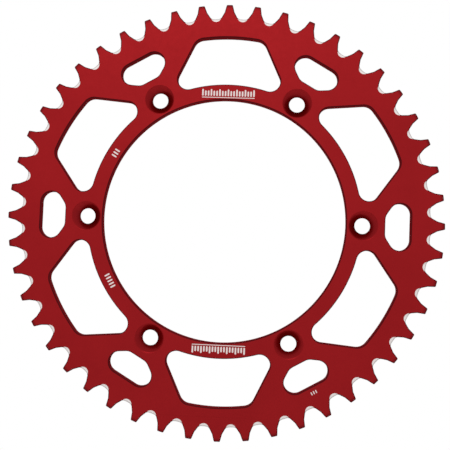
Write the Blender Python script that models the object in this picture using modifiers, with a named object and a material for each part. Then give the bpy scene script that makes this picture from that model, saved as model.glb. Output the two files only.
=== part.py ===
"""Rear sprocket for a motorcycle: one plate of aluminium, cut and countersunk.

The sprocket hangs on its hub, so it stands upright. Its axis runs along Y, its front face looks
towards -Y, and the origin is where the axis meets the back face, which bolts to the hub.
Every shape is drawn in the plate's own plane (x across, y up, z out of the front face), with its
back face at z = 0, and the hub axis empty turns all of it upright.
"""

from math import atan2, cos, pi, radians, sin, sqrt, tan

import bmesh
import bpy
from mathutils import Matrix, Vector

MM = 0.001

# Chain and teeth
TOOTH_COUNT = 48
CHAIN_PITCH = 15.875 * MM
ROLLER_DIAMETER = 10.16 * MM
ROLLER_CLEARANCE = 0.05 * MM
FLANK_ANGLE = radians(32.2)
ROOT_CORNER_RADIUS = 1.5 * MM
FLANK_TOP_RADIUS = 119.75 * MM
POINT_ANGLE = radians(18.4)
TIP_RADIUS = 124.05 * MM
TIP_CORNER_RADIUS = 0.6 * MM
TOOTH_OFFSET_ANGLE = radians(0.56)

# Plate
THICKNESS = 5.8 * MM
BORE_DIAMETER = 138.4 * MM

# Bolt holes, countersunk from the front
BOLT_COUNT = 6
BOLT_CIRCLE_DIAMETER = 157.3 * MM
BOLT_HOLE_DIAMETER = 9.0 * MM
COUNTERSINK_DIAMETER = 16.4 * MM
COUNTERSINK_ANGLE = radians(90)

# Windows, half way between the bolt holes
WINDOW_OUTER_RADIUS = 105.3 * MM
WINDOW_INNER_RADIUS = 77.9 * MM
WINDOW_SIDE_ANGLE = radians(25)
WINDOW_HALF_WIDTH = 25.56 * MM
WINDOW_WIDTH_HEIGHT = 90.0 * MM
WINDOW_OUTER_CORNER = 6.6 * MM
WINDOW_INNER_CORNER = 5.9 * MM

# Slots, outboard of the bolt holes
SLOT_OUTER_HEIGHT = 105.25 * MM
SLOT_INNER_HEIGHT = 90.95 * MM
SLOT_INNER_HALF_WIDTH = 5.8 * MM
SLOT_END_ANGLE = radians(33.6)
SLOT_END_RADIUS = 6.1 * MM
SLOT_CORNER_RADIUS = 6.0 * MM

# Mud relief, a round notch that slopes down from each face to each tooth root
RELIEF_RADIUS = 3.0 * MM
RELIEF_FLOOR_RADIUS = 114.2 * MM
RELIEF_SLOPE = radians(50)

# Fineness of the round stretches
ARC_STEP = radians(20)
BORE_SEGMENTS = 120
HOLE_SEGMENTS = 24
RELIEF_SEGMENTS = 14
CUTTER_OVERRUN = 1.0 * MM
RELIEF_RUN_OUT = 0.4 * MM

ANODISED_RED = (0.30, 0.012, 0.016, 1.0)

PITCH_RADIUS = CHAIN_PITCH / (2 * sin(pi / TOOTH_COUNT))
SEAT_RADIUS = ROLLER_DIAMETER / 2 + ROLLER_CLEARANCE
ROOT_RADIUS = PITCH_RADIUS - SEAT_RADIUS
BOLT_CIRCLE_RADIUS = BOLT_CIRCLE_DIAMETER / 2


def clear_scene():
    for obj in list(bpy.data.objects):
        bpy.data.objects.remove(obj, do_unlink=True)


def new_collection(name):
    collection = bpy.data.collections.new(name)
    bpy.context.scene.collection.children.link(collection)
    return collection


def anodised_aluminium():
    material = bpy.data.materials.new("anodised_red_aluminium")
    material.use_nodes = True
    shader = material.node_tree.nodes["Principled BSDF"]
    shader.inputs["Base Color"].default_value = ANODISED_RED
    shader.inputs["Metallic"].default_value = 0.85
    shader.inputs["Roughness"].default_value = 0.42
    return material


def arc(centre, radius, start, turn):
    """Points along an arc from the angle start, through turn, which is signed."""
    steps = max(2, round(abs(turn) / ARC_STEP))
    angles = [start + turn * step / steps for step in range(steps + 1)]
    return [centre + radius * Vector((cos(angle), sin(angle))) for angle in angles]


def short_turn(start, end):
    return (end - start + pi) % (2 * pi) - pi


def arc_between(centre, first, last):
    """The shorter arc about centre from the point first to the point last."""
    start = atan2(first.y - centre.y, first.x - centre.x)
    end = atan2(last.y - centre.y, last.x - centre.x)
    return arc(centre, (first - centre).length, start, short_turn(start, end))


def rounded_corner(before, corner, after, radius):
    """The arc of this radius that rounds off a corner between two straight lines."""
    to_before = (before - corner).normalized()
    to_after = (after - corner).normalized()
    half_angle = to_before.angle(to_after) / 2
    reach = radius / tan(half_angle)
    centre = corner + (to_before + to_after).normalized() * radius / sin(half_angle)
    return arc_between(centre, corner + to_before * reach, corner + to_after * reach)


def mirrored(right_half):
    """A closed outline from its right half, which runs from the middle line round to it again."""
    left_half = [Vector((-point.x, point.y)) for point in reversed(right_half)]
    return right_half + [point for point in left_half if abs(point.x) > 1e-7]


def turned(points, angle):
    """Points drawn about the +Y direction, moved round the hub to the given angle from +X."""
    turn = Matrix.Rotation(angle - pi / 2, 2)
    return [turn @ point for point in points]


def around(count, offset=0.0):
    return [offset + 2 * pi * index / count for index in range(count)]


def gap_outline():
    """The gap between two teeth, drawn about +Y: root in the middle, half a tooth tip each side.

    The flanks are straight and touch the circle in which a chain roller seats. Above it they
    steepen to a flat tip.
    """
    flank = Vector((sin(FLANK_ANGLE), cos(FLANK_ANGLE)))
    roller = Vector((0, PITCH_RADIUS))
    seat_point = roller + SEAT_RADIUS * Vector((flank.y, -flank.x))
    root_corner = seat_point + flank * (ROOT_RADIUS - seat_point.y) / flank.y
    flank_top = seat_point + flank * (FLANK_TOP_RADIUS - seat_point.y) / flank.y
    half_pitch = pi / TOOTH_COUNT
    tooth_middle = TIP_RADIUS * Vector((sin(half_pitch), cos(half_pitch)))
    outward = tooth_middle.normalized()
    point = Vector((sin(POINT_ANGLE), cos(POINT_ANGLE)))
    to_tip = (tooth_middle - flank_top).dot(outward) / point.dot(outward)
    tip_corner = flank_top + point * to_tip
    right = rounded_corner(Vector((0, ROOT_RADIUS)), root_corner, flank_top, ROOT_CORNER_RADIUS)
    right.append(flank_top)
    right += rounded_corner(flank_top, tip_corner, tooth_middle, TIP_CORNER_RADIUS)
    left = [Vector((-point.x, point.y)) for point in reversed(right)]
    return left + right


def gap_angles():
    return around(TOOTH_COUNT, TOOTH_OFFSET_ANGLE + pi / TOOTH_COUNT)


def toothed_outline():
    """The whole rim, clockwise, because each gap is drawn from left to right."""
    points = []
    for angle in reversed(gap_angles()):
        points += turned(gap_outline(), angle)
    return points


def fillet_centre(circle_radius, side_point, side_direction):
    """Where a line along the window's side meets a circle about the hub."""
    along = side_point.dot(side_direction)
    clear = side_point.length_squared - circle_radius**2
    return side_point + side_direction * (sqrt(along**2 - clear) - along)


def window_outline():
    """A window drawn about +Y: two arcs about the hub, joined by straight slanted sides."""
    side = Vector((-sin(WINDOW_SIDE_ANGLE), cos(WINDOW_SIDE_ANGLE)))
    inward = Vector((-side.y, side.x))
    side_point = Vector((WINDOW_HALF_WIDTH, WINDOW_WIDTH_HEIGHT))
    outer_radius = WINDOW_OUTER_RADIUS - WINDOW_OUTER_CORNER
    inner_radius = WINDOW_INNER_RADIUS + WINDOW_INNER_CORNER
    outer = fillet_centre(outer_radius, side_point + inward * WINDOW_OUTER_CORNER, side)
    inner = fillet_centre(inner_radius, side_point + inward * WINDOW_INNER_CORNER, side)
    outer_end = outer.normalized() * WINDOW_OUTER_RADIUS
    inner_end = inner.normalized() * WINDOW_INNER_RADIUS
    hub = Vector((0, 0))
    right = arc_between(hub, Vector((0, WINDOW_OUTER_RADIUS)), outer_end)
    right += arc_between(outer, outer_end, outer - inward * WINDOW_OUTER_CORNER)[1:]
    right += arc_between(inner, inner - inward * WINDOW_INNER_CORNER, inner_end)
    right += arc_between(hub, inner_end, Vector((0, WINDOW_INNER_RADIUS)))[1:]
    return mirrored(right)


def slot_outline():
    """A slot drawn about +Y: a long outer edge, a short inner edge, and round ends."""
    height = SLOT_OUTER_HEIGHT - SLOT_INNER_HEIGHT
    outer_half_width = SLOT_INNER_HALF_WIDTH + height / tan(SLOT_END_ANGLE)
    outer = Vector((outer_half_width, SLOT_OUTER_HEIGHT))
    inner = Vector((SLOT_INNER_HALF_WIDTH, SLOT_INNER_HEIGHT))
    right = rounded_corner(Vector((0, outer.y)), outer, inner, SLOT_END_RADIUS)
    right += rounded_corner(outer, inner, Vector((0, inner.y)), SLOT_CORNER_RADIUS)
    return mirrored(right)


def circle_outline(radius, segments):
    return [radius * Vector((cos(angle), sin(angle))) for angle in around(segments)]


def add_spline(curve, points):
    spline = curve.splines.new("POLY")
    spline.points.add(len(points) - 1)
    for target, point in zip(spline.points, points):
        target.co = (point.x, point.y, 0, 1)
    spline.use_cyclic_u = True


def plate_blank(collection, material):
    """The flat plate with its teeth, bore, windows and slots, before it is drilled."""
    curve = bpy.data.curves.new("plate_outline", "CURVE")
    curve.dimensions = "2D"
    curve.fill_mode = "BOTH"
    curve.extrude = THICKNESS / 2
    add_spline(curve, toothed_outline())
    add_spline(curve, circle_outline(BORE_DIAMETER / 2, BORE_SEGMENTS))
    for angle in around(BOLT_COUNT):
        add_spline(curve, turned(slot_outline(), angle))
        add_spline(curve, turned(window_outline(), angle + pi / BOLT_COUNT))
    drawn = bpy.data.objects.new("plate_outline", curve)
    collection.objects.link(drawn)
    bpy.context.view_layer.update()
    graph = bpy.context.evaluated_depsgraph_get()
    mesh = bpy.data.meshes.new_from_object(drawn.evaluated_get(graph))
    bpy.data.objects.remove(drawn)
    blank = bmesh.new()
    blank.from_mesh(mesh)
    bmesh.ops.remove_doubles(blank, verts=blank.verts, dist=1e-6)
    bmesh.ops.translate(blank, verts=blank.verts, vec=(0, 0, THICKNESS / 2))
    bmesh.ops.recalc_face_normals(blank, faces=blank.faces)
    blank.to_mesh(mesh)
    blank.free()
    mesh.materials.clear()
    mesh.materials.append(material)
    plate = bpy.data.objects.new("sprocket_plate", mesh)
    collection.objects.link(plate)
    return plate


def as_cutter(obj, collection):
    collection.objects.link(obj)
    obj.hide_render = True
    obj.display_type = "WIRE"
    return obj


def bolt_hole_cutter(collection, angle):
    """A drill with a countersink above it, turned from its profile."""
    sink_radius = COUNTERSINK_DIAMETER / 2
    drill_radius = BOLT_HOLE_DIAMETER / 2
    widening = tan(COUNTERSINK_ANGLE / 2)
    sink_floor = THICKNESS - (sink_radius - drill_radius) / widening
    top = THICKNESS + CUTTER_OVERRUN
    top_radius = sink_radius + CUTTER_OVERRUN * widening
    profile = [(0, top), (top_radius, top), (drill_radius, sink_floor)]
    profile += [(drill_radius, -CUTTER_OVERRUN), (0, -CUTTER_OVERRUN)]
    mesh = bpy.data.meshes.new("countersunk_drill")
    points = [(radius, 0, height) for radius, height in profile]
    edges = [(index, index + 1) for index in range(len(points) - 1)]
    mesh.from_pydata(points, edges, [])
    drill = as_cutter(bpy.data.objects.new("countersunk_drill", mesh), collection)
    drill.location = (BOLT_CIRCLE_RADIUS * cos(angle), BOLT_CIRCLE_RADIUS * sin(angle), 0)
    screw = drill.modifiers.new("turn", "SCREW")
    screw.steps = HOLE_SEGMENTS
    screw.render_steps = HOLE_SEGMENTS
    screw.use_merge_vertices = True
    screw.merge_threshold = 0.00001
    return drill


def relief_cutter(collection):
    """All the mud grooves in one mesh: a leaning round cutter at each root, from either face."""
    cutter = bmesh.new()
    reach = (ROOT_RADIUS - RELIEF_FLOOR_RADIUS) / tan(RELIEF_SLOPE) + RELIEF_RUN_OUT
    length = reach + CUTTER_OVERRUN
    for angle in gap_angles():
        for face, side in ((THICKNESS, 1), (0, -1)):
            made = bmesh.ops.create_cone(
                cutter,
                cap_ends=True,
                segments=RELIEF_SEGMENTS,
                radius1=RELIEF_RADIUS,
                radius2=RELIEF_RADIUS,
                depth=length,
            )
            middle = CUTTER_OVERRUN - length / 2
            for vert in made["verts"]:
                height = vert.co.z + middle
                outward = RELIEF_FLOOR_RADIUS + RELIEF_RADIUS - height * tan(RELIEF_SLOPE)
                vert.co = Vector((vert.co.x + outward, vert.co.y, face + side * height))
            turn = Matrix.Rotation(angle, 3, "Z")
            bmesh.ops.rotate(cutter, verts=made["verts"], matrix=turn)
    bmesh.ops.recalc_face_normals(cutter, faces=cutter.faces)
    mesh = bpy.data.meshes.new("mud_relief")
    cutter.to_mesh(mesh)
    cutter.free()
    return as_cutter(bpy.data.objects.new("mud_relief", mesh), collection)


def cut(target, cutters):
    modifier = target.modifiers.new("drilled_and_relieved", "BOOLEAN")
    modifier.operation = "DIFFERENCE"
    modifier.operand_type = "COLLECTION"
    modifier.collection = cutters


def main():
    clear_scene()
    parts = new_collection("rear_sprocket")
    cutters = new_collection("cutters")
    hub_axis = bpy.data.objects.new("hub_axis", None)
    parts.objects.link(hub_axis)
    hub_axis.rotation_euler = (pi / 2, 0, 0)
    plate = plate_blank(parts, anodised_aluminium())
    plate.parent = hub_axis
    relief = relief_cutter(cutters)
    relief.parent = hub_axis
    for angle in around(BOLT_COUNT):
        drill = bolt_hole_cutter(cutters, angle)
        drill.parent = hub_axis
    cut(plate, cutters)
    plate.data.shade_smooth()
    plate.data.set_sharp_from_angle(angle=radians(30))


main()
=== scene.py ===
"""The looks of a rear sprocket in red anodised aluminium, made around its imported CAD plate.

Outlines are drawn in the plate's own plane (x across, y up, z out of the front face, back face at
z = 0) and then stood upright, so that the hub axis runs along Y and the front face looks to -Y.
"""

from math import atan2, cos, pi, radians, sin, sqrt, tan

import bmesh
import bpy
from bpy.props import FloatProperty, FloatVectorProperty, IntProperty, PointerProperty
from mathutils import Matrix, Vector


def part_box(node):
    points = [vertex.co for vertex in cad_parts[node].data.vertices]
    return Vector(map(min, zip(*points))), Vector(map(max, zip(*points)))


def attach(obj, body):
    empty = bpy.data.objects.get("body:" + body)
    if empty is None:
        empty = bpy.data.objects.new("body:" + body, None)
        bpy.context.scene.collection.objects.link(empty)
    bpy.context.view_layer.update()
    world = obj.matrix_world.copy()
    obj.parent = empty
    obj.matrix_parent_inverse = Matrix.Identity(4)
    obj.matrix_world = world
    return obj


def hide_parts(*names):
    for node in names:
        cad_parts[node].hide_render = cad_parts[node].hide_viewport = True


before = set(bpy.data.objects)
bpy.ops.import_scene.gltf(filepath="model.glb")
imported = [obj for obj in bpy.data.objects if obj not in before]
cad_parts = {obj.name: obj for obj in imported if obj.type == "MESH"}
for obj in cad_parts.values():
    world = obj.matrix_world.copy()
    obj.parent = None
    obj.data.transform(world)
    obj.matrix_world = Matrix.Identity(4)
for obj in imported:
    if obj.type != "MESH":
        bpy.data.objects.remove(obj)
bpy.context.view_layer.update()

bl_info = {
    "name": "Rear sprocket",
    "version": (1, 0, 0),
    "blender": (4, 5, 0),
    "location": "3D View > Sidebar > Sprocket",
    "description": "Builds the finished plate of a chain sprocket, its bare cuts and its marks",
    "category": "Add Mesh",
}

MM = 0.001
CAD_PLATE = "sprocket_plate"
PLATE_LOW, PLATE_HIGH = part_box(CAD_PLATE)
THICKNESS = PLATE_HIGH.y - PLATE_LOW.y
STAND_UP = Matrix.Rotation(pi / 2, 4, "X")

# Chain and teeth
TOOTH_COUNT = 48
CHAIN_PITCH = 15.875 * MM
ROLLER_DIAMETER = 10.16 * MM
ROLLER_CLEARANCE = 0.05 * MM
FLANK_ANGLE = radians(32.2)
ROOT_CORNER_RADIUS = 1.5 * MM
FLANK_TOP_RADIUS = 119.75 * MM
POINT_ANGLE = radians(18.4)
TIP_RADIUS = 124.05 * MM
TIP_CORNER_RADIUS = 0.6 * MM
TOOTH_OFFSET_ANGLE = radians(0.56)
PITCH_RADIUS = CHAIN_PITCH / (2 * sin(pi / TOOTH_COUNT))
SEAT_RADIUS = ROLLER_DIAMETER / 2 + ROLLER_CLEARANCE
ROOT_RADIUS = PITCH_RADIUS - SEAT_RADIUS

# Bore and bolt holes
BORE_RADIUS = 69.2 * MM
BOLT_COUNT = 6
BOLT_CIRCLE_RADIUS = 78.65 * MM
BOLT_HOLE_RADIUS = 4.5 * MM
COUNTERSINK_RADIUS = 8.2 * MM

# Windows, half way between the bolt holes
WINDOW_OUTER_RADIUS = 105.3 * MM
WINDOW_INNER_RADIUS = 77.9 * MM
WINDOW_SIDE_ANGLE = radians(25)
WINDOW_HALF_WIDTH = 25.56 * MM
WINDOW_WIDTH_HEIGHT = 90.0 * MM
WINDOW_OUTER_CORNER = 6.6 * MM
WINDOW_INNER_CORNER = 5.9 * MM

# Slots, outboard of the bolt holes
SLOT_OUTER_HEIGHT = 105.25 * MM
SLOT_INNER_HEIGHT = 90.95 * MM
SLOT_INNER_HALF_WIDTH = 5.8 * MM
SLOT_END_ANGLE = radians(33.6)
SLOT_END_RADIUS = 6.1 * MM
SLOT_CORNER_RADIUS = 6.0 * MM

# Mud relief, a round notch that slopes down from each face to each tooth root
RELIEF_RADIUS = 3.0 * MM
RELIEF_FLOOR_RADIUS = 114.2 * MM
RELIEF_SLOPE = radians(50)

# Breaks at the bolt holes: two facets round the countersink's rim, and one at the back
RIM_BREAK = 0.45 * MM
RIM_TILTS = (radians(32), radians(39))
BACK_BREAK = 0.3 * MM

# How far a cutter reaches past what it cuts
CUTTER_OVERRUN = 1.0 * MM
RELIEF_RUN_OUT = 0.4 * MM

# How many times finer the steps of a long arc are, and how many times fewer sides a drill and a
# relief cutter have than the bore
LONG_ARC_FINENESS = 6
DRILL_COARSENESS = 4
RELIEF_COARSENESS = 6

# Points closer together than these are merged, in a new mesh and in the machined plate
WELD_DISTANCE = 0.001 * MM
SLIVER_DISTANCE = 0.004 * MM

# A point this close to the middle line of an outline is on it
MIDDLE_LINE_WIDTH = 0.0001 * MM

# Faces that meet at a larger angle than this have a sharp edge between them
SHARP_ANGLE = radians(20)

# Which tool left a face
PLATE_FACE, RELIEF_FACE, DRILL_FACE, POCKET_FACE = range(4)

# How flat a face lies, from 0 for an upright wall to 1: the least for a flat and a slanted face
FLAT_LEVEL = 0.97
SLANTED_LEVEL = 0.3

# How much shade is painted into the colour, from 0 on the flat faces to 1 on the broken edges
EDGE_SHADE = 1.0
WALL_SHADE = 0.7
TIP_SHADE = 0.65
SINK_SHADE = 0.3

# Painted shade darkens the colour between these two depths below the tooth tips
TIP_SHADE_START_DEPTH = 2.2 * MM
TIP_SHADE_END_DEPTH = 0.7 * MM

# Shade is painted on the relief cuts between these radii, where they run out to the tooth roots
RUN_OUT_SHADE_START_RADIUS = 115.55 * MM
RUN_OUT_SHADE_END_RADIUS = 115.85 * MM

# Marks are groups of bars. In a scale, some bars are longer and a base line runs below them all
BAR_END_STEP = radians(22.5)
LONG_BAR_EVERY = 3
LONG_BAR_STRETCH = 1.28
BASE_LINE_DROP = 1.0 * MM
BASE_LINE_WIDTH = 0.45 * MM

# Each mark's middle as an angle in degrees and a radius, its number of bars, and the width, pitch
# and height of a bar, with lengths in millimetres, and whether it is a scale
MARKS = {
    "etched_scale_top": (90, 72.6, 19, 0.95, 1.62, 3.1, True),
    "etched_scale_bottom": (270, 72.6, 19, 0.95, 1.62, 3.1, True),
    "etched_bars_upper_left": (150, 73.0, 3, 0.9, 1.8, 3.2, False),
    "etched_bars_lower_left": (210, 73.0, 5, 0.9, 1.8, 3.2, False),
    "etched_bars_lower_right": (300, 108.6, 3, 0.6, 1.4, 1.9, False),
}

# Studio, with the film's width in millimetres and the rest in metres
FLOOR_RADIUS = 450 * MM
FLOOR_THICKNESS = 4 * MM
FLOOR_SEGMENTS = 96
FLOOR_PLACE = (0, 0, -0.30)
KEY_LIGHT_PLACE = (-0.15, -0.80, 0.75)
REAR_LIGHT_PLACE = (0.35, 0.75, 0.75)
LIGHT_SIZE = 0.7
FILM_WIDTH = 36.0
NEAREST_SEEN = 0.01

# Most of a noise's values lie between these
NOISE_LOW, NOISE_HIGH = 0.3, 0.7

# Sockets of a node that mixes colours: what it goes by, its two colours, and its result
MIX_FACTOR, MIX_FIRST, MIX_LAST, MIX_COLOUR = 0, 6, 7, 2


class SprocketSizes(bpy.types.PropertyGroup):
    """Sizes of the edges, cuts and marks."""

    edge_break: FloatProperty(
        name="Edge break",
        description="Width of the chamfer round the teeth, windows, slots and bore",
        default=0.5 * MM,
        min=0.05 * MM,
        max=0.5 * MM,
        precision=5,
        unit="LENGTH",
    )
    sink_angle: FloatProperty(
        name="Countersink angle",
        description="Full angle of the countersinks",
        default=radians(90),
        min=radians(60),
        max=radians(120),
        unit="ROTATION",
    )
    arc_step: FloatProperty(
        name="Arc step",
        description="Turn of a rounded corner from one point to the next",
        default=radians(7.5),
        min=radians(2),
        max=radians(30),
        unit="ROTATION",
    )
    circle_segments: IntProperty(
        name="Circle segments",
        description="Sides of the bore; the small round cuts have a fixed share of them",
        default=288,
        min=48,
        max=720,
    )
    mark_depth: FloatProperty(
        name="Mark depth",
        description="How deep the etched marks lie in the front face",
        default=0.06 * MM,
        min=0.02 * MM,
        max=0.3 * MM,
        precision=6,
        unit="LENGTH",
    )
    skin: FloatProperty(
        name="Skin thickness",
        description="Thickness of the bare and etched surface layers",
        default=0.03 * MM,
        min=0.01 * MM,
        max=0.1 * MM,
        precision=6,
        unit="LENGTH",
    )


class SprocketColours(bpy.types.PropertyGroup):
    """Colours of the finishes."""

    anodised: FloatVectorProperty(
        name="Anodised",
        description="Colour of the dyed aluminium",
        subtype="COLOR",
        size=3,
        default=(0.340, 0.0133, 0.0162),
        min=0.0,
        max=1.0,
    )
    # Painted shade: the dark colour that the cut walls, edge breaks, countersinks and tooth tips take
    cut_edge_shade: FloatVectorProperty(
        name="Cut edge",
        description="Colour of the dye on the cut walls, edge breaks and countersinks",
        subtype="COLOR",
        size=3,
        default=(0.09, 0.007, 0.009),
        min=0.0,
        max=1.0,
    )
    # Its pink tint is a painted reflection of the red plate round the cuts
    bare: FloatVectorProperty(
        name="Bare metal",
        description="Colour of the aluminium where the relief is cut",
        subtype="COLOR",
        size=3,
        default=(1.0, 0.93, 0.91),
        min=0.0,
        max=1.0,
    )
    etched: FloatVectorProperty(
        name="Etched",
        description="Colour of the etched marks",
        subtype="COLOR",
        size=3,
        default=(0.95, 0.82, 0.80),
        min=0.0,
        max=1.0,
    )


class SprocketStage(bpy.types.PropertyGroup):
    """Camera, lights and floor."""

    lens: FloatProperty(
        name="Lens",
        description="Focal length of the camera, in millimetres",
        default=60.12,
        min=20,
        max=200,
    )
    camera_place: FloatVectorProperty(
        name="Camera place",
        description="Where the camera stands",
        subtype="TRANSLATION",
        size=3,
        default=(0.023995, -0.430381, -0.020649),
        precision=5,
    )
    camera_target: FloatVectorProperty(
        name="Camera target",
        description="The point at which the camera looks",
        subtype="TRANSLATION",
        size=3,
        default=(0.000721, 0.0, -0.002202),
        precision=5,
    )
    camera_roll: FloatProperty(
        name="Camera roll",
        description="Turn of the camera about its line of sight",
        default=radians(2.278),
        unit="ROTATION",
    )
    surround: FloatProperty(
        name="Surround",
        description="Brightness of the studio round the object",
        default=0.80,
        min=0.0,
        max=2.0,
    )
    front_glow: FloatProperty(
        name="Front glow",
        description="Extra brightness of the studio in front of and behind the plate",
        default=0.27,
        min=0.0,
        max=2.0,
    )
    front_lean: FloatVectorProperty(
        name="Front lean",
        description="Which way, and how much, the front glow gets brighter",
        size=3,
        default=(-0.10, 0.0, 0.42),
    )
    light_power: FloatProperty(
        name="Light power",
        description="Power of each of the two large soft lights above",
        default=2.0,
        min=0.0,
        max=100.0,
        unit="POWER",
    )
    floor_colour: FloatVectorProperty(
        name="Floor",
        description="Colour of the floor",
        subtype="COLOR",
        size=3,
        default=(0.80, 0.80, 0.79),
        min=0.0,
        max=1.0,
    )


# ---- Outlines -------------------------------------------------------------------------------


def arc(centre, radius, start, turn, step):
    """Points along an arc from the angle start, through turn, which is signed."""
    steps = max(2, round(abs(turn) / step))
    angles = [start + turn * index / steps for index in range(steps + 1)]
    return [centre + radius * Vector((cos(angle), sin(angle))) for angle in angles]


def arc_between(centre, first, last, step):
    """The shorter arc about centre from the point first to the point last."""
    start = atan2(first.y - centre.y, first.x - centre.x)
    end = atan2(last.y - centre.y, last.x - centre.x)
    turn = (end - start + pi) % (2 * pi) - pi
    return arc(centre, (first - centre).length, start, turn, step)


def rounded_corner(before, corner, after, radius, step):
    """The arc of this radius that rounds off a corner between two straight lines."""
    to_before = (before - corner).normalized()
    to_after = (after - corner).normalized()
    half_angle = to_before.angle(to_after) / 2
    reach = radius / tan(half_angle)
    centre = corner + (to_before + to_after).normalized() * radius / sin(half_angle)
    return arc_between(centre, corner + to_before * reach, corner + to_after * reach, step)


def mirrored(right_half):
    """A closed outline from its right half, which runs from the middle line round to it again."""
    left_half = [Vector((-point.x, point.y)) for point in reversed(right_half)]
    return right_half + [point for point in left_half if abs(point.x) > MIDDLE_LINE_WIDTH]


def turned(points, angle):
    """Points drawn about the +Y direction, moved round the hub to the given angle from +X."""
    turn = Matrix.Rotation(angle - pi / 2, 2)
    return [turn @ point for point in points]


def around(count, offset=0.0):
    return [offset + 2 * pi * index / count for index in range(count)]


def gap_angles():
    return around(TOOTH_COUNT, TOOTH_OFFSET_ANGLE + pi / TOOTH_COUNT)


def gap_outline(step):
    """The gap between two teeth, drawn about +Y: root in the middle, half a tooth tip each side."""
    flank = Vector((sin(FLANK_ANGLE), cos(FLANK_ANGLE)))
    roller = Vector((0, PITCH_RADIUS))
    seat_point = roller + SEAT_RADIUS * Vector((flank.y, -flank.x))
    root_corner = seat_point + flank * (ROOT_RADIUS - seat_point.y) / flank.y
    flank_top = seat_point + flank * (FLANK_TOP_RADIUS - seat_point.y) / flank.y
    half_pitch = pi / TOOTH_COUNT
    tooth_middle = TIP_RADIUS * Vector((sin(half_pitch), cos(half_pitch)))
    outward = tooth_middle.normalized()
    point = Vector((sin(POINT_ANGLE), cos(POINT_ANGLE)))
    to_tip = (tooth_middle - flank_top).dot(outward) / point.dot(outward)
    tip_corner = flank_top + point * to_tip
    root = Vector((0, ROOT_RADIUS))
    right = rounded_corner(root, root_corner, flank_top, ROOT_CORNER_RADIUS, step)
    right.append(flank_top)
    right += rounded_corner(flank_top, tip_corner, tooth_middle, TIP_CORNER_RADIUS, step)
    left = [Vector((-point.x, point.y)) for point in reversed(right)]
    return left + right


def toothed_outline(step):
    """The whole rim, clockwise, because each gap is drawn from left to right."""
    gap = gap_outline(step)
    return [point for angle in reversed(gap_angles()) for point in turned(gap, angle)]


def fillet_centre(circle_radius, side_point, side_direction):
    """Where a line through side_point, along a window's side, meets a circle about the hub."""
    along = side_point.dot(side_direction)
    clear = side_point.length_squared - circle_radius**2
    return side_point + side_direction * (sqrt(along**2 - clear) - along)


def window_outline(step):
    """A window drawn about +Y: two arcs about the hub, joined by straight slanted sides."""
    side = Vector((-sin(WINDOW_SIDE_ANGLE), cos(WINDOW_SIDE_ANGLE)))
    inward = Vector((-side.y, side.x))
    side_point = Vector((WINDOW_HALF_WIDTH, WINDOW_WIDTH_HEIGHT))
    outer_radius = WINDOW_OUTER_RADIUS - WINDOW_OUTER_CORNER
    inner_radius = WINDOW_INNER_RADIUS + WINDOW_INNER_CORNER
    outer = fillet_centre(outer_radius, side_point + inward * WINDOW_OUTER_CORNER, side)
    inner = fillet_centre(inner_radius, side_point + inward * WINDOW_INNER_CORNER, side)
    outer_end = outer.normalized() * WINDOW_OUTER_RADIUS
    inner_end = inner.normalized() * WINDOW_INNER_RADIUS
    hub = Vector((0, 0))
    long_step = step / LONG_ARC_FINENESS
    right = arc_between(hub, Vector((0, WINDOW_OUTER_RADIUS)), outer_end, long_step)
    right += arc_between(outer, outer_end, outer - inward * WINDOW_OUTER_CORNER, step)[1:]
    right += arc_between(inner, inner - inward * WINDOW_INNER_CORNER, inner_end, step)
    right += arc_between(hub, inner_end, Vector((0, WINDOW_INNER_RADIUS)), long_step)[1:]
    return mirrored(right)


def slot_outline(step):
    """A slot drawn about +Y: a long outer edge, a short inner edge, and round ends."""
    height = SLOT_OUTER_HEIGHT - SLOT_INNER_HEIGHT
    outer_half_width = SLOT_INNER_HALF_WIDTH + height / tan(SLOT_END_ANGLE)
    outer = Vector((outer_half_width, SLOT_OUTER_HEIGHT))
    inner = Vector((SLOT_INNER_HALF_WIDTH, SLOT_INNER_HEIGHT))
    right = rounded_corner(Vector((0, outer.y)), outer, inner, SLOT_END_RADIUS, step)
    right += rounded_corner(outer, inner, Vector((0, inner.y)), SLOT_CORNER_RADIUS, step)
    return mirrored(right)


def circle_outline(radius, segments):
    return [radius * Vector((cos(angle), sin(angle))) for angle in around(segments)]


def bar_outline(middle, width, height):
    """An upright bar with round ends."""
    radius = width / 2
    straight = height / 2 - radius
    top = arc(middle + Vector((0, straight)), radius, 0, pi, BAR_END_STEP)
    bottom = arc(middle - Vector((0, straight)), radius, pi, pi, BAR_END_STEP)
    return top + bottom


def mark_outlines(angle, radius, count, width, pitch, height, is_scale):
    """The closed outlines of one mark, placed round the hub, from its entry in MARKS."""
    radius, width, pitch, height = radius * MM, width * MM, pitch * MM, height * MM
    first = -pitch * (count - 1) / 2
    outlines = []
    for index in range(count):
        long_bar = is_scale and index % LONG_BAR_EVERY == 0
        bar_height = height * LONG_BAR_STRETCH if long_bar else height
        rise = (bar_height - height) / 2
        middle = Vector((first + index * pitch, radius + rise))
        outlines.append(bar_outline(middle, width, bar_height))
    if is_scale:
        half_span = -first + width / 2
        low = radius - height / 2 - BASE_LINE_DROP
        high = low + BASE_LINE_WIDTH
        corners = ((-half_span, low), (half_span, low), (half_span, high), (-half_span, high))
        outlines.append([Vector(corner) for corner in corners])
    return [turned(outline, radians(angle)) for outline in outlines]


# ---- Meshes ---------------------------------------------------------------------------------


def add_object(name, mesh):
    obj = bpy.data.objects.new(name, mesh)
    bpy.context.scene.collection.objects.link(obj)
    return obj


def evaluated_mesh(obj):
    bpy.context.view_layer.update()
    graph = bpy.context.evaluated_depsgraph_get()
    return bpy.data.meshes.new_from_object(obj.evaluated_get(graph))


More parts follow.
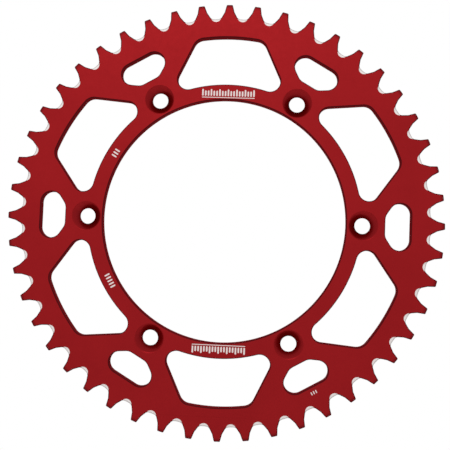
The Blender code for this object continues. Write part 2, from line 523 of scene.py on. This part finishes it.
def plate_blank(sizes):
    """The plate with its teeth, bore, windows and slots, all edges broken, before it is drilled."""
    curve = bpy.data.curves.new("plate_outline", "CURVE")
    curve.dimensions = "2D"
    curve.fill_mode = "BOTH"
    curve.extrude = THICKNESS / 2 - sizes.edge_break
    curve.bevel_depth = sizes.edge_break
    curve.bevel_resolution = 0
    curve.offset = -sizes.edge_break
    step = sizes.arc_step
    outlines = [toothed_outline(step), circle_outline(BORE_RADIUS, sizes.circle_segments)]
    for angle in around(BOLT_COUNT):
        outlines.append(turned(slot_outline(step), angle))
        outlines.append(turned(window_outline(step), angle + pi / BOLT_COUNT))
    for outline in outlines:
        spline = curve.splines.new("POLY")
        spline.points.add(len(outline) - 1)
        for target, point in zip(spline.points, outline):
            target.co = (point.x, point.y, 0, 1)
        spline.use_cyclic_u = True
    drawn = add_object("plate_outline", curve)
    mesh = evaluated_mesh(drawn)
    bpy.data.objects.remove(drawn)
    bpy.data.curves.remove(curve)
    blank = bmesh.new()
    blank.from_mesh(mesh)
    bmesh.ops.remove_doubles(blank, verts=blank.verts, dist=WELD_DISTANCE)
    bmesh.ops.translate(blank, verts=blank.verts, vec=(0, 0, THICKNESS / 2))
    bmesh.ops.recalc_face_normals(blank, faces=blank.faces)
    for face in blank.faces:
        face.material_index = PLATE_FACE
    blank.to_mesh(mesh)
    blank.free()
    return mesh


def add_turned_solid(cutter, profile, centre, segments):
    """A solid of revolution about Z through centre, from (radius, height) pairs, top first."""
    rings = []
    for radius, height in profile:
        if radius == 0:
            rings.append([cutter.verts.new((centre.x, centre.y, height))])
            continue
        ring = []
        for angle in around(segments):
            place = (centre.x + radius * cos(angle), centre.y + radius * sin(angle), height)
            ring.append(cutter.verts.new(place))
        rings.append(ring)
    for upper, lower in zip(rings, rings[1:]):
        for index in range(segments):
            after = (index + 1) % segments
            corners = [upper[index % len(upper)], lower[index % len(lower)]]
            if len(lower) > 1:
                corners.append(lower[after])
            if len(upper) > 1:
                corners.append(upper[after])
            cutter.faces.new(corners)


def drill_mesh(sizes):
    """The six drills, each with a countersink, a soft break at its rim and a break at the back."""
    widening = tan(sizes.sink_angle / 2)
    sink_floor = THICKNESS - (COUNTERSINK_RADIUS - BOLT_HOLE_RADIUS) / widening
    depth = RIM_BREAK / widening
    run = depth / sum(tan(tilt) for tilt in RIM_TILTS)
    radius = COUNTERSINK_RADIUS - RIM_BREAK
    height = THICKNESS - depth
    rim = [(radius, height)]
    for tilt in reversed(RIM_TILTS):
        radius += run
        height += run * tan(tilt)
        rim.append((radius, height))
    rim.append((radius + CUTTER_OVERRUN / tan(RIM_TILTS[0]), THICKNESS + CUTTER_OVERRUN))
    profile = [(0, THICKNESS + CUTTER_OVERRUN), *reversed(rim)]
    profile += [(BOLT_HOLE_RADIUS, sink_floor), (BOLT_HOLE_RADIUS, BACK_BREAK)]
    profile += [(BOLT_HOLE_RADIUS + BACK_BREAK + CUTTER_OVERRUN, -CUTTER_OVERRUN)]
    profile += [(0, -CUTTER_OVERRUN)]
    cutter = bmesh.new()
    for angle in around(BOLT_COUNT):
        centre = BOLT_CIRCLE_RADIUS * Vector((cos(angle), sin(angle)))
        add_turned_solid(cutter, profile, centre, sizes.circle_segments // DRILL_COARSENESS)
    return finished_mesh(cutter, "countersunk_drills", DRILL_FACE)


def relief_mesh(sizes):
    """A leaning round cutter at each tooth root, from either face."""
    cutter = bmesh.new()
    reach = (ROOT_RADIUS - RELIEF_FLOOR_RADIUS) / tan(RELIEF_SLOPE) + RELIEF_RUN_OUT
    length = reach + CUTTER_OVERRUN
    for angle in gap_angles():
        turn = Matrix.Rotation(angle, 3, "Z")
        for face, side in ((THICKNESS, 1), (0, -1)):
            made = bmesh.ops.create_cone(
                cutter,
                cap_ends=True,
                segments=sizes.circle_segments // RELIEF_COARSENESS,
                radius1=RELIEF_RADIUS,
                radius2=RELIEF_RADIUS,
                depth=length,
            )
            for vert in made["verts"]:
                height = vert.co.z + CUTTER_OVERRUN - length / 2
                outward = RELIEF_FLOOR_RADIUS + RELIEF_RADIUS - height * tan(RELIEF_SLOPE)
                vert.co = Vector((vert.co.x + outward, vert.co.y, face + side * height))
            bmesh.ops.rotate(cutter, verts=made["verts"], matrix=turn)
    return finished_mesh(cutter, "mud_relief", RELIEF_FACE)


def add_prism(target, outline, low, high):
    """A closed prism on an outline, from the height low to the height high."""
    floor = [target.verts.new((point.x, point.y, low)) for point in outline]
    roof = [target.verts.new((point.x, point.y, high)) for point in outline]
    target.faces.new(list(reversed(floor)))
    target.faces.new(roof)
    for index in range(len(outline)):
        after = (index + 1) % len(outline)
        target.faces.new((floor[index], floor[after], roof[after], roof[index]))


def mark_mesh(name, outlines, low, high):
    """A closed prism on each outline, for an etched mark or for the pockets that hold them."""
    made = bmesh.new()
    for outline in outlines:
        add_prism(made, outline, low, high)
    return finished_mesh(made, name, POCKET_FACE)


def finished_mesh(made, name, tool_number=PLATE_FACE):
    """A mesh from a bmesh, with its normals outward and its faces numbered for their tool."""
    bmesh.ops.remove_doubles(made, verts=made.verts, dist=WELD_DISTANCE)
    bmesh.ops.recalc_face_normals(made, faces=made.faces)
    for face in made.faces:
        face.material_index = tool_number
    mesh = bpy.data.meshes.new(name)
    made.to_mesh(mesh)
    made.free()
    return mesh


def cut_plate(blank, cutter_meshes):
    """The blank with these cut from it. The faces that a cutter leaves have its number."""
    for mesh in (blank, *cutter_meshes):
        while len(mesh.materials) <= POCKET_FACE:
            mesh.materials.append(None)
    plate = add_object("plate_in_work", blank)
    cutters = bpy.data.collections.new("cutters")
    bpy.context.scene.collection.children.link(cutters)
    tools = []
    for mesh in cutter_meshes:
        tool = bpy.data.objects.new(mesh.name, mesh)
        cutters.objects.link(tool)
        tools.append(tool)
    modifier = plate.modifiers.new("machined", "BOOLEAN")
    modifier.operation = "DIFFERENCE"
    modifier.solver = "EXACT"
    modifier.operand_type = "COLLECTION"
    modifier.collection = cutters
    machined = evaluated_mesh(plate)
    bpy.data.objects.remove(plate)
    for tool in tools:
        bpy.data.objects.remove(tool)
    bpy.data.collections.remove(cutters)
    if len(machined.polygons) <= len(blank.polygons):
        raise RuntimeError("the plate came out of the machining uncut")
    return machined


def clear_slivers(mesh):
    """Cuts the faces into triangles, and merges the points that are almost in one place."""
    cleaned = bmesh.new()
    cleaned.from_mesh(mesh)
    bmesh.ops.triangulate(cleaned, faces=cleaned.faces)
    bmesh.ops.remove_doubles(cleaned, verts=cleaned.verts, dist=SLIVER_DISTANCE)
    bmesh.ops.dissolve_degenerate(cleaned, edges=cleaned.edges, dist=SLIVER_DISTANCE)
    cleaned.to_mesh(mesh)
    cleaned.free()


def skin_over(mesh, tool_number, thickness, name):
    """A thin closed skin over the faces that this tool left, no higher or lower than the plate."""
    skin = bmesh.new()
    skin.from_mesh(mesh)
    others = [face for face in skin.faces if face.material_index != tool_number]
    bmesh.ops.delete(skin, geom=others, context="FACES")
    if not skin.faces:
        raise RuntimeError(f"nothing was cut for {name}")
    skin.normal_update()
    lower = {vert: vert.co.copy() for vert in skin.verts}
    rim = [edge for edge in skin.edges if len(edge.link_faces) == 1]
    doubled = bmesh.ops.duplicate(skin, geom=skin.faces[:])
    twin = doubled["vert_map"]
    for vert, place in lower.items():
        raised = place + vert.normal * thickness
        raised.z = min(max(raised.z, 0.0), THICKNESS)
        twin[vert].co = raised
    under = [face for face in skin.faces if all(vert in lower for vert in face.verts)]
    bmesh.ops.reverse_faces(skin, faces=under)
    for edge in rim:
        first, last = edge.verts
        skin.faces.new((first, last, twin[last], twin[first]))
    return finished_mesh(skin, name)


def painted_shade(face, height):
    """How much shade is painted into the colour at a face's corner, which is this high above the back
    face.
    """
    level = abs(face.normal.z)
    if level > FLAT_LEVEL:
        return 0.0
    if level < SLANTED_LEVEL:
        return WALL_SHADE
    # Painted shade in the countersinks, darker the deeper they go
    if face.material_index == DRILL_FACE:
        return SINK_SHADE * (THICKNESS - height) / (COUNTERSINK_RADIUS - BOLT_HOLE_RADIUS)
    return EDGE_SHADE


def store_painted_shade(mesh):
    """Keeps the painted shade at every corner of every face, for the anodised finish to read."""
    depth = mesh.attributes.new("painted_shade", "FLOAT", "CORNER")
    for face in mesh.polygons:
        for loop in face.loop_indices:
            height = mesh.vertices[mesh.loops[loop].vertex_index].co.z
            depth.data[loop].value = painted_shade(face, height)


def as_piece(name, mesh, material):
    """Stands a plate-plane mesh upright as a piece of the sprocket that moves with its body."""
    mesh.transform(STAND_UP)
    mesh.materials.clear()
    mesh.materials.append(material)
    mesh.shade_smooth()
    mesh.set_sharp_from_angle(angle=SHARP_ANGLE)
    piece = add_object(name, mesh)
    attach(piece, "root")
    return piece


# ---- Finishes -------------------------------------------------------------------------------


class Nodes:
    """Short ways to add nodes to a node tree. An input is a value, or another node's output."""

    def __init__(self, tree):
        self.tree = tree

    def node(self, kind, inputs, **settings):
        made = self.tree.nodes.new(kind)
        for key, value in settings.items():
            setattr(made, key, value)
        for key, value in inputs.items():
            if isinstance(value, bpy.types.NodeSocket):
                self.tree.links.new(value, made.inputs[key])
            else:
                made.inputs[key].default_value = value
        return made

    def math(self, operation, first, last):
        return self.node("ShaderNodeMath", {0: first, 1: last}, operation=operation).outputs[0]


class Finish(Nodes):
    """A material with a Principled shader, and the patterns that its finish is made of."""

    def __init__(self, name, metallic):
        self.material = bpy.data.materials.new(name)
        self.material.use_nodes = True
        super().__init__(self.material.node_tree)
        self.shader = self.tree.nodes["Principled BSDF"]
        self.shader.inputs["Metallic"].default_value = metallic
        self.place = self.node("ShaderNodeTexCoord", {}).outputs["Object"]

    def noise(self, scale, detail, roughness, stretch=(1, 1, 1)):
        mapped = self.node("ShaderNodeMapping", {"Vector": self.place, "Scale": stretch})
        inputs = {"Vector": mapped.outputs[0], "Scale": scale, "Detail": detail}
        inputs["Roughness"] = roughness
        return self.node("ShaderNodeTexNoise", inputs).outputs["Fac"]

    def spread(self, value, start, end, low, high):
        """Low up to the start of a range of values, changing evenly to high at its end."""
        inputs = {"Value": value, "From Min": start, "From Max": end, "To Min": low, "To Max": high}
        return self.node("ShaderNodeMapRange", inputs).outputs["Result"]

    def ramp(self, noise, low, high):
        """A noise spread from low to high."""
        return self.spread(noise, NOISE_LOW, NOISE_HIGH, low, high)

    def radius_band(self, inner, outer, high):
        """0 up to the inner distance from the hub axis, rising to high at the outer one."""
        axes = {0: self.place, 1: (1, 0, 1)}
        flat = self.node("ShaderNodeVectorMath", axes, operation="MULTIPLY").outputs[0]
        away = self.node("ShaderNodeVectorMath", {0: flat}, operation="LENGTH").outputs["Value"]
        return self.spread(away, inner, outer, 0.0, high)

    def mix(self, factor, first, last):
        """From the first colour at 0 to the last at 1. Each is a colour or another mix."""
        inputs = {MIX_FACTOR: factor, MIX_FIRST: first, MIX_LAST: last}
        return self.node("ShaderNodeMix", inputs, data_type="RGBA").outputs[MIX_COLOUR]

    def bump(self, height, distance, strength, under=None):
        inputs = {"Height": height, "Distance": distance, "Strength": strength}
        if under is not None:
            inputs["Normal"] = under
        return self.node("ShaderNodeBump", inputs).outputs["Normal"]

    def wire(self, socket, source):
        self.tree.links.new(source, self.shader.inputs[socket])


def shaded(colour, factor=1.0):
    """A colour made brighter or darker, as a node takes it."""
    return (*(min(1.0, channel * factor) for channel in colour), 1.0)


def anodised_finish(colours):
    """Dyed aluminium: a fine blasted grain under a satin oxide film, with faint shifts in the dye,
    and painted shade on the cut walls, edge breaks, countersinks and below the tooth tips.
    """
    finish = Finish("anodised_red_aluminium", metallic=1.0)
    depth = finish.node("ShaderNodeAttribute", {}, attribute_name="painted_shade").outputs["Fac"]

    cloud = finish.noise(scale=26.0, detail=3.0, roughness=0.6)
    dye = finish.ramp(cloud, low=0.0, high=1.0)
    skin = finish.mix(dye, shaded(colours.anodised, 0.95), shaded(colours.anodised, 1.04))
    # Painted shade: the dark colour where shade is painted on walls, edges, countersinks and tips
    cut = finish.mix(dye, shaded(colours.cut_edge_shade, 0.9), shaded(colours.cut_edge_shade, 1.1))
    # Painted shade in a band below the tooth tips
    tips = finish.radius_band(TIP_RADIUS - TIP_SHADE_START_DEPTH, TIP_RADIUS - TIP_SHADE_END_DEPTH, TIP_SHADE)
    finish.wire("Base Color", finish.mix(finish.math("MAXIMUM", depth, tips), skin, cut))

    # Where shade is painted on the walls and broken edges they have no sheen, and the flat faces
    # shine as metal
    finish.wire("Metallic", finish.spread(depth, start=0.35, end=0.65, low=1.0, high=0.0))
    finish.shader.inputs["Specular IOR Level"].default_value = 0.0
    finish.shader.inputs["Specular Tint"].default_value = (0.25, 0.02, 0.02, 1)

    # The turned countersinks are smoother than the blasted faces
    blasted = finish.ramp(finish.noise(scale=420.0, detail=3.0, roughness=0.6), low=0.42, high=0.50)
    smoothing = finish.spread(depth, start=0.0, end=0.05, low=1.0, high=0.45)
    finish.wire("Roughness", finish.math("MULTIPLY", blasted, smoothing))

    lay = finish.noise(scale=90.0, detail=2.0, roughness=0.5)
    soft = finish.bump(lay, distance=0.03 * MM, strength=0.12)
    grain = finish.noise(scale=2600.0, detail=3.0, roughness=0.7)
    finish.wire("Normal", finish.bump(grain, distance=0.01 * MM, strength=0.5, under=soft))
    return finish.material


def bare_finish(colours):
    """Aluminium as the cutter left it, with fine tool lines, a pink tint that is a painted reflection
    of the red plate, and painted shade where the cuts run out.
    """
    finish = Finish("bare_cut_aluminium", metallic=0.1)
    lines = finish.noise(scale=900.0, detail=3.0, roughness=0.6, stretch=(1, 4, 1))
    streaks = finish.ramp(lines, low=0.0, high=1.0)
    clean = finish.mix(streaks, shaded(colours.bare, 0.97), shaded(colours.bare))
    # Painted shade along the outer edge of each relief cut, where it runs out to the tooth root
    shaded_run_out = finish.mix(lines, shaded(colours.bare, 0.5), shaded(colours.bare, 0.7))
    rim = finish.radius_band(RUN_OUT_SHADE_START_RADIUS, RUN_OUT_SHADE_END_RADIUS, 1.0)
    finish.wire("Base Color", finish.mix(rim, clean, shaded_run_out))
    finish.wire("Roughness", finish.ramp(lines, low=0.30, high=0.45))
    finish.wire("Normal", finish.bump(lines, distance=0.01 * MM, strength=0.5))
    return finish.material


def etched_finish(colours):
    """Dye burnt away by a laser: pale, dry and slightly mottled."""
    finish = Finish("etched_aluminium", metallic=0.2)
    speckle = finish.noise(scale=3000.0, detail=4.0, roughness=0.7)
    wear = finish.ramp(speckle, low=0.0, high=1.0)
    finish.wire("Base Color", finish.mix(wear, shaded(colours.etched, 0.8), shaded(colours.etched)))
    finish.wire("Roughness", finish.ramp(speckle, low=0.55, high=0.75))
    finish.wire("Normal", finish.bump(speckle, distance=0.01 * MM, strength=0.6))
    return finish.material


def floor_finish(colour):
    """Matt painted board."""
    finish = Finish("pale_floor", metallic=0.0)
    mottle = finish.noise(scale=14.0, detail=3.0, roughness=0.5)
    finish.wire("Base Color", finish.mix(mottle, shaded(colour, 0.97), shaded(colour, 1.03)))
    finish.wire("Roughness", finish.ramp(mottle, low=0.75, high=0.85))
    return finish.material


# ---- Operators ------------------------------------------------------------------------------


class SPROCKET_OT_body(bpy.types.Operator):
    """Make the anodised plate and the bare skin over its relief cuts"""

    bl_idname = "sprocket.make_body"
    bl_label = "Make body"

    def execute(self, context):
        sizes = context.scene.sprocket_sizes
        colours = context.scene.sprocket_colours
        floor_of_mark = THICKNESS - sizes.mark_depth
        outlines = [line for values in MARKS.values() for line in mark_outlines(*values)]
        pockets = mark_mesh("mark_pockets", outlines, floor_of_mark, THICKNESS + CUTTER_OVERRUN)
        anodised = anodised_finish(colours)
        bare = bare_finish(colours)
        drilled = cut_plate(plate_blank(sizes), [drill_mesh(sizes), pockets])
        machined = cut_plate(drilled, [relief_mesh(sizes)])
        clear_slivers(machined)
        relief_skin = skin_over(machined, RELIEF_FACE, sizes.skin, "relief_cut_skins")
        # Paints shade on the walls, edge breaks and countersinks
        store_painted_shade(machined)
        body = as_piece("sprocket_body", machined, anodised)
        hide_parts(CAD_PLATE)
        as_piece("relief_cut_skins", relief_skin, bare)
        return {"FINISHED"}


class SPROCKET_OT_marks(bpy.types.Operator):
    """Make the etched marks on the front face"""

    bl_idname = "sprocket.make_marks"
    bl_label = "Make marks"

    def execute(self, context):
        sizes = context.scene.sprocket_sizes
        etched = etched_finish(context.scene.sprocket_colours)
        low = THICKNESS - sizes.mark_depth
        for name, values in MARKS.items():
            mesh = mark_mesh(name, mark_outlines(*values), low, low + sizes.skin)
            as_piece(name, mesh, etched)
        return {"FINISHED"}


def soft_light(name, place, power):
    """A large round light that shines on the middle of the sprocket."""
    data = bpy.data.lights.new(name, "AREA")
    data.shape = "DISK"
    data.size = LIGHT_SIZE
    data.energy = power
    light = add_object(name, data)
    light.location = place
    light.rotation_euler = (-Vector(place)).to_track_quat("-Z", "Y").to_euler()
    light.visible_camera = False


def studio_surround(stage):
    """A white backdrop to the eye, and to the metal a room that is brighter in front and behind."""
    world = bpy.data.worlds.new("studio")
    world.use_nodes = True
    world.node_tree.nodes.clear()
    nodes = Nodes(world.node_tree)
    direction = nodes.node("ShaderNodeTexCoord", {}).outputs["Generated"]
    depth = nodes.node("ShaderNodeSeparateXYZ", {0: direction}).outputs["Y"]
    lean = {0: direction, 1: stage.front_lean}
    leaning = nodes.node("ShaderNodeVectorMath", lean, operation="DOT_PRODUCT").outputs["Value"]
    glow = nodes.math("ADD", leaning, stage.front_glow)
    in_front = nodes.math("MULTIPLY", nodes.math("MULTIPLY", depth, depth), glow)
    level = nodes.math("ADD", in_front, stage.surround)
    room = nodes.node("ShaderNodeBackground", {"Strength": level}).outputs[0]
    backdrop = nodes.node("ShaderNodeBackground", {"Color": (1, 1, 1, 1)}).outputs[0]
    to_the_eye = nodes.node("ShaderNodeLightPath", {}).outputs["Is Camera Ray"]
    seen = nodes.node("ShaderNodeMixShader", {0: to_the_eye, 1: room, 2: backdrop}).outputs[0]
    nodes.node("ShaderNodeOutputWorld", {"Surface": seen})
    return world


def floor_mesh():
    made = bmesh.new()
    bmesh.ops.create_cone(
        made,
        cap_ends=True,
        segments=FLOOR_SEGMENTS,
        radius1=FLOOR_RADIUS,
        radius2=FLOOR_RADIUS,
        depth=FLOOR_THICKNESS,
    )
    return finished_mesh(made, "floor")


class SPROCKET_OT_stage(bpy.types.Operator):
    """Make the floor, the lights, the surround and the camera"""

    bl_idname = "sprocket.make_stage"
    bl_label = "Make stage"

    def execute(self, context):
        scene = context.scene
        stage = scene.sprocket_stage
        floor = add_object("floor", floor_mesh())
        floor.location = FLOOR_PLACE
        floor.data.materials.append(floor_finish(stage.floor_colour))
        soft_light("key_light", KEY_LIGHT_PLACE, stage.light_power)
        soft_light("rear_light", REAR_LIGHT_PLACE, stage.light_power)
        scene.world = studio_surround(stage)
        scene.view_settings.view_transform = "Standard"
        camera_data = bpy.data.cameras.new("camera")
        camera_data.lens = stage.lens
        camera_data.sensor_width = FILM_WIDTH
        camera_data.clip_start = NEAREST_SEEN
        camera = add_object("camera", camera_data)
        place, target = Vector(stage.camera_place), Vector(stage.camera_target)
        aim = (target - place).to_track_quat("-Z", "Y").to_matrix()
        roll = Matrix.Rotation(stage.camera_roll, 3, "Z")
        camera.matrix_world = Matrix.Translation(place) @ (aim @ roll).to_4x4()
        scene.camera = camera
        return {"FINISHED"}


class SPROCKET_PT_panel(bpy.types.Panel):
    """Sizes, colours and steps of the sprocket"""

    bl_idname = "SPROCKET_PT_panel"
    bl_label = "Sprocket"
    bl_space_type = "VIEW_3D"
    bl_region_type = "UI"
    bl_category = "Sprocket"

    def draw(self, context):
        scene = context.scene
        for group in (scene.sprocket_sizes, scene.sprocket_colours, scene.sprocket_stage):
            column = self.layout.column(align=True)
            for name in group.bl_rna.properties.keys():
                if name not in ("rna_type", "name"):
                    column.prop(group, name)
        for operator in OPERATORS:
            self.layout.operator(operator.bl_idname)


GROUPS = {
    "sprocket_sizes": SprocketSizes,
    "sprocket_colours": SprocketColours,
    "sprocket_stage": SprocketStage,
}
OPERATORS = (SPROCKET_OT_body, SPROCKET_OT_marks, SPROCKET_OT_stage)


def register():
    for name, group in GROUPS.items():
        bpy.utils.register_class(group)
        setattr(bpy.types.Scene, name, PointerProperty(type=group))
    for operator in OPERATORS:
        bpy.utils.register_class(operator)
    bpy.utils.register_class(SPROCKET_PT_panel)


def unregister():
    bpy.utils.unregister_class(SPROCKET_PT_panel)
    for operator in reversed(OPERATORS):
        bpy.utils.unregister_class(operator)
    for name, group in reversed(GROUPS.items()):
        delattr(bpy.types.Scene, name)
        bpy.utils.unregister_class(group)


def main():
    register()
    bpy.ops.sprocket.make_body()
    bpy.ops.sprocket.make_marks()
    bpy.ops.sprocket.make_stage()


if __name__ == "__main__":
    main()
